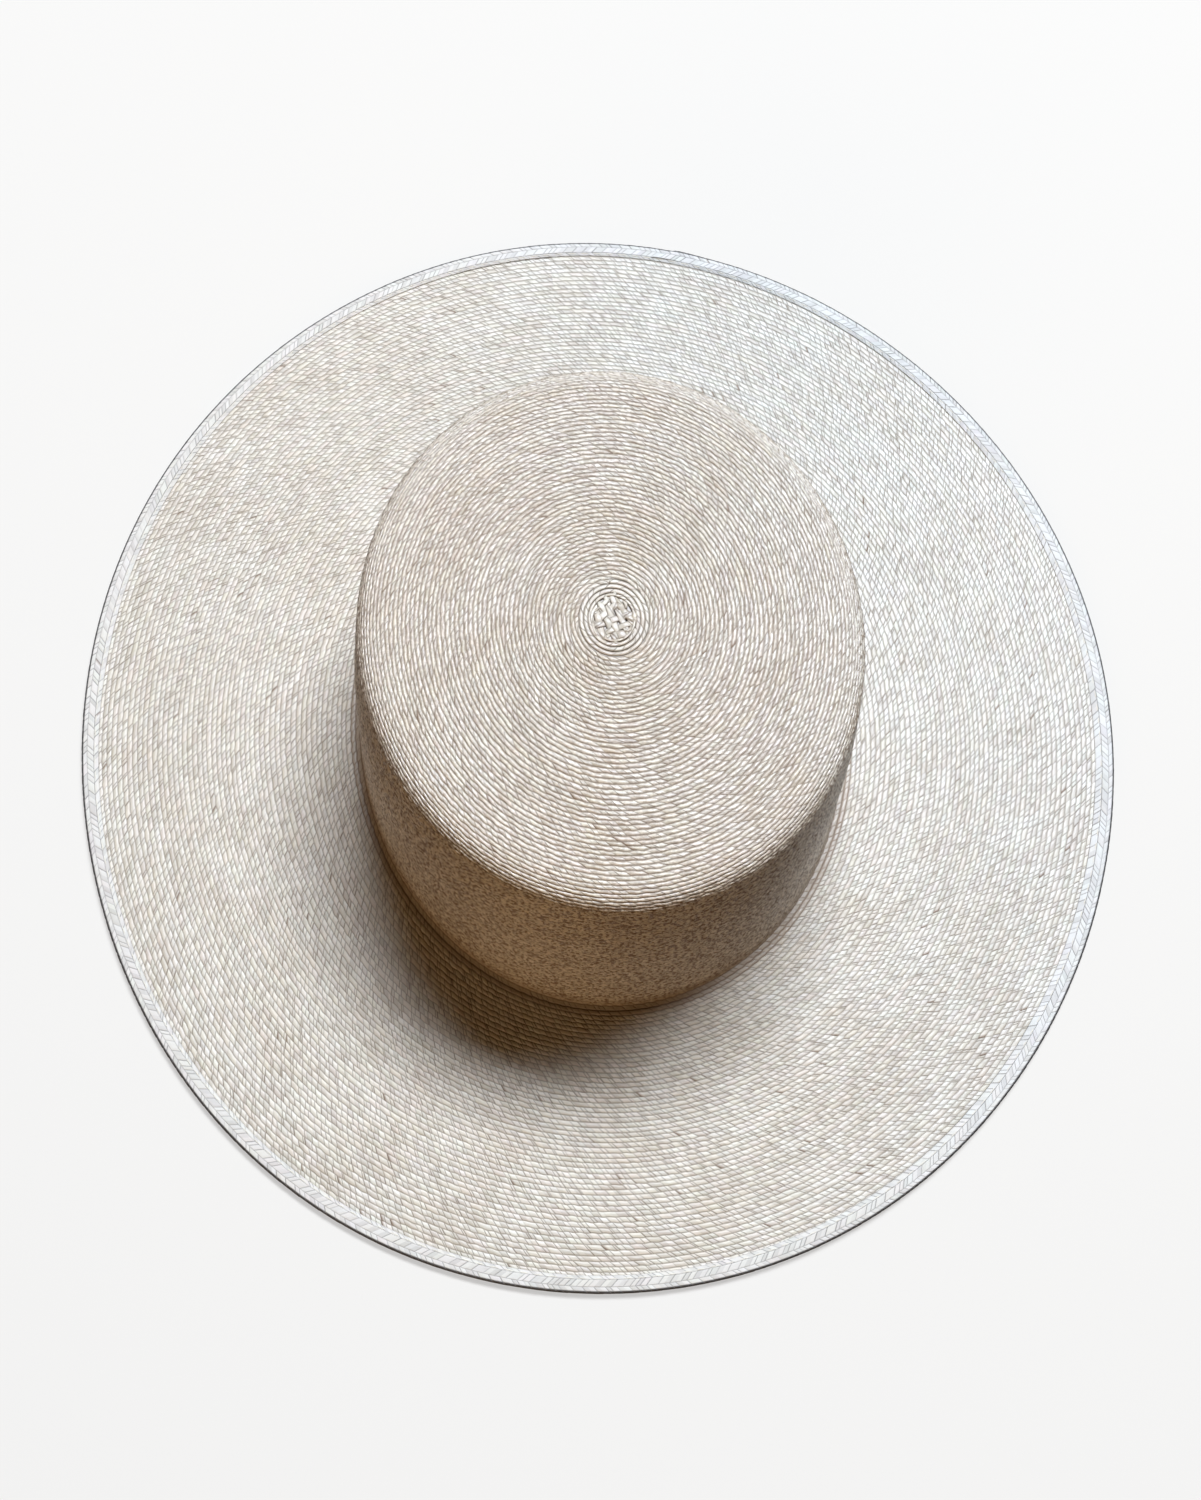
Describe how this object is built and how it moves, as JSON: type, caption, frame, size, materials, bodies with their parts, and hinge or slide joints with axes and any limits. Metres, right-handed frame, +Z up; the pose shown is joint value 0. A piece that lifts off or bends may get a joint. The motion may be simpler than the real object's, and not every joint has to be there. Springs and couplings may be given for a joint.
{
  "type": "straw hat",
  "caption": "Flat-crowned straw hat with a wide flat brim, sewn from palm braid, with a plaited edge and a ribbon sweatband.",
  "frame": {"origin": "centre of the head opening, on the surface that the brim rests on", "axes": "+Z up through the crown, -Y towards the front of the hat, +X across it, to the right as it is seen from the front"},
  "size_m": [0.3656, 0.3898, 0.1065],
  "materials": {
    "palm_straw": "fine ribs of shiny natural palm strands, pale cream with brownish specks",
    "pale_plait": "smooth bleached palm strands in a herringbone plait",
    "ribbon": "matt ribbed cotton ribbon",
    "thread": "twisted cotton thread",
    "wire": "plain drawn wire"
  },
  "bodies": {
    "root": {"crown_button": "palm_straw", "crown_tip": "palm_straw", "crown_side": "palm_straw", "brim": "palm_straw", "brim_wire": "wire", "edge_braid": "pale_plait", "edge_row": "pale_plait", "edge_thread": "thread", "sweatband": "ribbon", "sweatband_tab": "ribbon", "sweatband_thread": "thread"}
  },
  "joints": []
}
